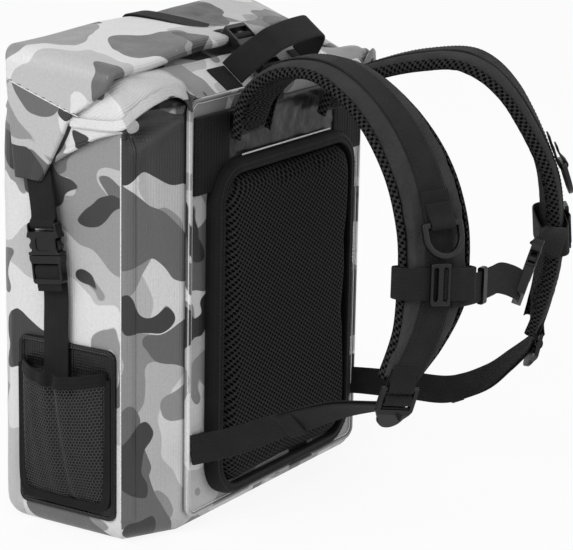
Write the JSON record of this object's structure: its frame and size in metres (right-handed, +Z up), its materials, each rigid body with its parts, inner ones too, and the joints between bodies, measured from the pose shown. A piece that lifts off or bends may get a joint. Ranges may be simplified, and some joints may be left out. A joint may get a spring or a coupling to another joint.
{
  "type": "roll-top tackle backpack",
  "caption": "Roll-top tackle backpack in welded coated fabric, with net side pockets, padded back, padded shoulder straps, chest strap and side-release buckles.",
  "frame": {"origin": "middle of the bag's base on the floor", "axes": "+Z up, +Y from the bag towards the wearer's back and harness, +X across the width to the wearer's right-hand side pocket"},
  "size_m": [0.428, 0.4044, 0.416],
  "materials": {
    "camo_tarpaulin": "coated fabric, semi-gloss, printed in white, greys and black",
    "black_tarpaulin": "coated fabric, welded, semi-gloss",
    "webbing": "woven polypropylene webbing",
    "black_plastic": "moulded acetal, satin",
    "net": "knitted net with bound edge",
    "spacer_mesh": "3-D air mesh",
    "binding": "folded binding",
    "pad_fabric": "woven pad cover over foam",
    "stiffener": "polyethylene sheet"
  },
  "bodies": {
    "root": {"back_pad": "spacer_mesh", "back_panel": "camo_tarpaulin", "body_shell": "camo_tarpaulin", "frame_sheet": "stiffener", "front_patch": "black_tarpaulin", "handle_root_far": "webbing", "handle_root_near": "webbing", "lower_webbing_far": "webbing", "lower_webbing_near": "webbing", "lower_webbing_tail_far": "webbing", "lower_webbing_tail_near": "webbing", "pad_binding": "binding", "panel_piping": "camo_tarpaulin", "pocket_net_far": "net", "pocket_net_near": "net", "pocket_patch_far": "black_tarpaulin", "pocket_patch_near": "black_tarpaulin", "roll_stiffener": "stiffener", "roll_top": "camo_tarpaulin", "side_webbing_far": "webbing", "side_webbing_near": "webbing", "strap_anchor_band": "webbing", "top_buckle_female": "black_plastic", "top_buckle_male": "black_plastic", "top_strap": "webbing", "top_strap_rear": "webbing"},
    "harness": {"shoulder_pad_near": "pad_fabric", "pad_webbing_near": "webbing", "sternum_loop_near": "webbing", "sternum_slider_near": "black_plastic", "shoulder_pad_far": "pad_fabric", "pad_webbing_far": "webbing", "sternum_loop_far": "webbing", "sternum_slider_far": "black_plastic", "sternum_webbing": "webbing", "sternum_webbing_far": "webbing", "sternum_buckle_female": "black_plastic", "sternum_buckle_male": "black_plastic"},
    "handle": {"grab_handle": "webbing"},
    "keeper": {"sternum_keeper": "black_plastic"},
    "ear_near": {"ear_near": "camo_tarpaulin", "ear_tab_near": "webbing", "side_buckle_near_female": "black_plastic", "side_buckle_near_male": "black_plastic"},
    "d_ring_near": {"d_ring_near": "black_plastic"},
    "lock_near": {"ladder_lock_near": "black_plastic"},
    "ear_far": {"ear_far": "camo_tarpaulin", "ear_tab_far": "webbing", "side_buckle_far_female": "black_plastic", "side_buckle_far_male": "black_plastic"},
    "d_ring_far": {"d_ring_far": "black_plastic"},
    "lock_far": {"ladder_lock_far": "black_plastic"},
    "side_buckle_near_arm_a": {"side_buckle_near_arm_a": "black_plastic"},
    "side_buckle_near_arm_b": {"side_buckle_near_arm_b": "black_plastic"},
    "side_buckle_far_arm_a": {"side_buckle_far_arm_a": "black_plastic"},
    "side_buckle_far_arm_b": {"side_buckle_far_arm_b": "black_plastic"},
    "top_buckle_arm_a": {"top_buckle_arm_a": "black_plastic"},
    "top_buckle_arm_b": {"top_buckle_arm_b": "black_plastic"},
    "sternum_buckle_arm_a": {"sternum_buckle_arm_a": "black_plastic"},
    "sternum_buckle_arm_b": {"sternum_buckle_arm_b": "black_plastic"}
  },
  "joints": [
    {"name": "harness_swing", "type": "hinge", "parent": "root", "child": "harness", "pos_m": [0, 0.092, 0.33], "axis": [1, 0, 0], "range_deg": [-12, 8], "deforming": ["lower_webbing_near", "lower_webbing_far", "lower_webbing_tail_near", "lower_webbing_tail_far"]},
    {"name": "ear_near_lift", "type": "hinge", "parent": "root", "child": "ear_near", "pos_m": [0.1893, -0.00693, 0.39717], "axis": [0, -0.9958, 0.0914], "range_deg": [0, 12], "deforming": ["side_webbing_near"]},
    {"name": "ear_far_lift", "type": "hinge", "parent": "root", "child": "ear_far", "pos_m": [-0.1893, -0.00606, 0.36331], "axis": [0, 0.9727, -0.232], "range_deg": [0, 12], "deforming": ["side_webbing_far"]},
    {"name": "handle_flop", "type": "hinge", "parent": "root", "child": "handle", "pos_m": [0, 0.06565, 0.37295], "axis": [1, 0, 0], "range_deg": [-15, 15]},
    {"name": "keeper_slide", "type": "slide", "parent": "harness", "child": "keeper", "axis": [1, 0, 0], "range_m": [-0.025, 0.004]},
    {"name": "d_ring_near_swing", "type": "hinge", "parent": "harness", "child": "d_ring_near", "pos_m": [0.10263, 0.29421, 0.29056], "axis": [0.853, -0.521, -0.0321], "range_deg": [0, 100]},
    {"name": "lock_near_tilt", "type": "hinge", "parent": "harness", "child": "lock_near", "pos_m": [0.12305, 0.27377, 0.15994], "axis": [0.8476, -0.5035, 0.1676], "range_deg": [0, 25]},
    {"name": "d_ring_far_swing", "type": "hinge", "parent": "harness", "child": "d_ring_far", "pos_m": [-0.09858, 0.29814, 0.30482], "axis": [0.8499, 0.5268, 0.0109], "range_deg": [0, 100]},
    {"name": "lock_far_tilt", "type": "hinge", "parent": "harness", "child": "lock_far", "pos_m": [-0.12205, 0.2735, 0.15127], "axis": [0.8449, 0.5203, -0.1239], "range_deg": [0, 25]},
    {"name": "side_buckle_near_squeeze_a", "type": "hinge", "parent": "ear_near", "child": "side_buckle_near_arm_a", "pos_m": [0.1935, -0.0046, 0.23788], "axis": [1, 0, 0], "range_deg": [0, 14], "stiffness_Nm_per_rad": 0.02},
    {"name": "side_buckle_near_squeeze_b", "type": "hinge", "parent": "ear_near", "child": "side_buckle_near_arm_b", "pos_m": [0.1935, -0.02678, 0.23476], "axis": [1, 0, 0], "range_deg": [-14, 0], "stiffness_Nm_per_rad": 0.02},
    {"name": "side_buckle_far_squeeze_a", "type": "hinge", "parent": "ear_far", "child": "side_buckle_far_arm_a", "pos_m": [-0.1935, -0.02678, 0.23476], "axis": [-1, 0, 0], "range_deg": [0, 14], "stiffness_Nm_per_rad": 0.02},
    {"name": "side_buckle_far_squeeze_b", "type": "hinge", "parent": "ear_far", "child": "side_buckle_far_arm_b", "pos_m": [-0.1935, -0.0046, 0.23788], "axis": [-1, 0, 0], "range_deg": [-14, 0], "stiffness_Nm_per_rad": 0.02},
    {"name": "top_buckle_squeeze_a", "type": "hinge", "parent": "root", "child": "top_buckle_arm_a", "pos_m": [0.0232, 0.05626, 0.39335], "axis": [0, 0.6122, 0.7907], "range_deg": [0, 14], "stiffness_Nm_per_rad": 0.02},
    {"name": "top_buckle_squeeze_b", "type": "hinge", "parent": "root", "child": "top_buckle_arm_b", "pos_m": [0.0008, 0.05626, 0.39335], "axis": [0, 0.6122, 0.7907], "range_deg": [-14, 0], "stiffness_Nm_per_rad": 0.02},
    {"name": "sternum_buckle_squeeze_a", "type": "hinge", "parent": "harness", "child": "sternum_buckle_arm_a", "pos_m": [-0.0229, 0.30495, 0.22063], "axis": [-0.3504, 0.8906, -0.29], "range_deg": [0, 14], "stiffness_Nm_per_rad": 0.02},
    {"name": "sternum_buckle_squeeze_b", "type": "hinge", "parent": "harness", "child": "sternum_buckle_arm_b", "pos_m": [-0.00817, 0.31513, 0.23409], "axis": [-0.3504, 0.8906, -0.29], "range_deg": [-14, 0], "stiffness_Nm_per_rad": 0.02}
  ],
  "couplings": [
    {"joint": "side_buckle_near_squeeze_b", "follows": "side_buckle_near_squeeze_a", "ratio": -1},
    {"joint": "side_buckle_far_squeeze_b", "follows": "side_buckle_far_squeeze_a", "ratio": -1},
    {"joint": "top_buckle_squeeze_b", "follows": "top_buckle_squeeze_a", "ratio": -1},
    {"joint": "sternum_buckle_squeeze_b", "follows": "sternum_buckle_squeeze_a", "ratio": -1}
  ]
}
